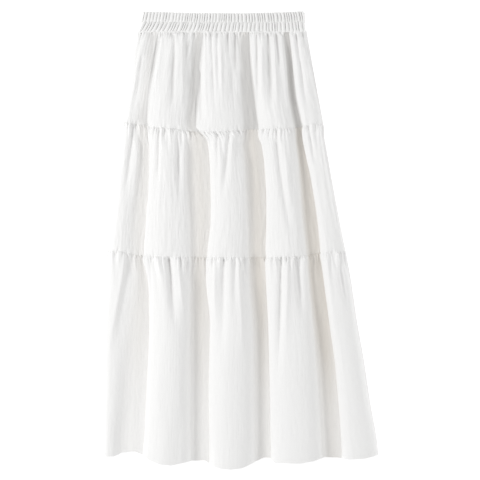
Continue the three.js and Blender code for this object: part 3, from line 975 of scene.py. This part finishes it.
def stitchTree():
    tree = bpy.data.node_groups.new("stitchRow", "GeometryNodeTree")
    inputs = {}
    kinds = {"Path": "Geometry", "Pitch": "Float", "Length": "Float", "Width": "Float", "Thread": "Material"}
    for name, kind in kinds.items():
        socket = tree.interface.new_socket(name=name, in_out="INPUT", socket_type="NodeSocket" + kind)
        inputs[name] = socket.identifier
    tree.interface.new_socket(name="Stitches", in_out="OUTPUT", socket_type="NodeSocketGeometry")

    def make(kind, output=0, settings=None, **values):
        return makeNode(tree, kind, settings, **values).outputs[output]

    given = makeNode(tree, "NodeGroupInput").outputs
    curve = make("GeometryNodeMeshToCurve", "Curve", Mesh=given["Path"])
    points = make("GeometryNodeResampleCurve", "Curve", {"mode": "LENGTH"}, Curve=curve,
                  Length=given["Pitch"])
    tangent = make("GeometryNodeInputTangent", "Tangent")
    turned = make("FunctionNodeAlignRotationToVector", "Rotation", {"axis": "X"}, Vector=tangent)
    segments, rings = thread["segments"]
    ball = make("GeometryNodeMeshUVSphere", "Mesh", Segments=segments, Rings=rings, Radius=0.5)
    size = make("ShaderNodeCombineXYZ", "Vector", X=given["Length"], Y=given["Width"], Z=given["Width"])
    copies = make("GeometryNodeInstanceOnPoints", "Instances", Points=points, Instance=ball, Rotation=turned,
                  Scale=size)
    real = make("GeometryNodeRealizeInstances", "Geometry", Geometry=copies)
    painted = make("GeometryNodeSetMaterial", "Geometry", Geometry=real, Material=given["Thread"])
    makeNode(tree, "NodeGroupOutput", Stitches=painted)
    return tree, inputs


threadMaterial = threadFinish()
stitchRow, stitchInputs = stitchTree()


def rowAcross(grid, above, target):    # where a skin's columns cross a given distance above a line
    x, y, z = grid
    path = []
    for column in range(x.shape[1]):
        rise = above(x[:, column], y[:, column])[::-1]
        path.append([np.interp(target, rise, values[::-1, column]) for values in (x, y, z)])
    return np.array(path)


def rowAt(grid, share):    # a row at a share of the way down a skin
    at = share * (grid[0].shape[0] - 1)
    low, part = int(at), at - int(at)
    return np.stack([values[low] * (1 - part) + values[low + 1] * part for values in grid], axis=-1)


def stitch(name, path, side=1, trim=3):    # side is 1 on the outer skin and -1 underneath
    path = path[trim:-trim].copy()
    along = np.gradient(path, axis=0)
    length = np.hypot(along[:, 0], along[:, 2]) + 1e-9
    path[:, 0] -= side * thread["proud"] * along[:, 2] / length
    path[:, 2] += side * thread["proud"] * along[:, 0] / length
    path[:, 2] = np.maximum(path[:, 2], thread["lowest"])
    mesh = bpy.data.meshes.new(name + "_path")
    mesh.from_pydata((path * mm).tolist(), [(step, step + 1) for step in range(len(path) - 1)], [])
    row = bpy.data.objects.new(name + "_path", mesh)
    bpy.context.collection.objects.link(row)
    modifier = row.modifiers.new("stitches", "NODES")
    modifier.node_group = stitchRow
    modifier[stitchInputs["Pitch"]] = thread["pitch"] * mm
    modifier[stitchInputs["Length"]] = thread["length"] * mm
    modifier[stitchInputs["Width"]] = thread["width"] * mm
    modifier[stitchInputs["Thread"]] = threadMaterial
    bpy.context.view_layer.update()
    done = bpy.data.meshes.new_from_object(row.evaluated_get(bpy.context.evaluated_depsgraph_get()))
    row.modifiers.clear()
    bpy.data.objects.remove(row)
    done.name = name
    done.shade_smooth()
    piece = bpy.data.objects.new(name, done)
    bpy.context.collection.objects.link(piece)
    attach(piece, "root")
    return len(done.polygons)


count = 0
for index in range(len(tiers)):
    isHem = index == lastTier
    name = "hem_stitches" if isHem else "seam_" + str(index + 1) + "_stitches"
    target = thread["aboveHem"] if isHem else thread["aboveSeam"]
    above = lambda x, y: y - seamLines[index + 1](x)
    count += stitch(name, rowAcross(frontGrids[index], above, target))
    target = target + (backPanel["hemGap"] if isHem else 0)
    count += stitch(name + "_back", rowAcross(backGrids[index], above, target), side=-1)
for number, share in enumerate(band["stitchRows"]):
    count += stitch("band_stitches_" + str(number + 1), rowAt(bandGrid, share), trim=5)
print("stitches made with", count, "faces")


studio = {
    "floorColour": (0.97, 0.97, 0.97, 1),
    "floorGlow": 0.4,      # a lit table, so shadows stay pale
    "floorReach": 6.0,
    "white": (1, 1, 1, 1),
    "ambient": 0.655,
}

floorFinish = Finish("paleFloor")
floorFinish.paint("Base Color", studio["floorColour"])
floorFinish.paint("Roughness", 0.9)
floorFinish.paint("Specular IOR Level", 0.1)
floorFinish.paint("Emission Color", studio["white"])
floorFinish.paint("Emission Strength", studio["floorGlow"])
floorMesh = bpy.data.meshes.new("floor")
corners = [(-1, -1, 0), (1, -1, 0), (1, 1, 0), (-1, 1, 0)]
floorMesh.from_pydata((np.array(corners) * studio["floorReach"]).tolist(), [], [(0, 1, 2, 3)])
floorMesh.materials.append(floorFinish.material)
floor = bpy.data.objects.new("floor", floorMesh)
bpy.context.collection.objects.link(floor)

lights = {
    "key": {"place": (-2.1, 0.05, 1.5), "long": 1.9, "wide": 0.5, "power": 29.0},
    "fill": {"place": (2.1, 0.05, 1.5), "long": 1.9, "wide": 0.8, "power": 10.5},
}


def addLight(name):
    settings = lights[name]
    data = bpy.data.lights.new(name, "AREA")
    data.shape = "RECTANGLE"
    data.size = settings["long"]
    data.size_y = settings["wide"]
    data.energy = settings["power"]
    lamp = bpy.data.objects.new(name, data)
    lamp.location = settings["place"]
    lamp.rotation_euler = (-lamp.location).to_track_quat("-Z", "Y").to_euler()
    bpy.context.collection.objects.link(lamp)


for name in lights:
    addLight(name)

world = bpy.data.worlds.new("studio")
world.use_nodes = True
sky = world.node_tree.nodes["Background"]
feed(world.node_tree, sky.inputs["Color"], studio["white"])
feed(world.node_tree, sky.inputs["Strength"], studio["ambient"])
bpy.context.scene.world = world
bpy.context.scene.view_settings.view_transform = "Standard"

cameraData = bpy.data.cameras.new("camera")
cameraData.sensor_width = photo["sensor"]
cameraData.lens = photo["sensor"] * photo["distance"] / (photo["pixels"] * photo["mmPerPixel"] * mm)
cameraData.clip_end = 100
camera = bpy.data.objects.new("camera", cameraData)
camera.location = (0, 0, photo["distance"])
bpy.context.collection.objects.link(camera)
bpy.context.scene.camera = camera
print("stage made")
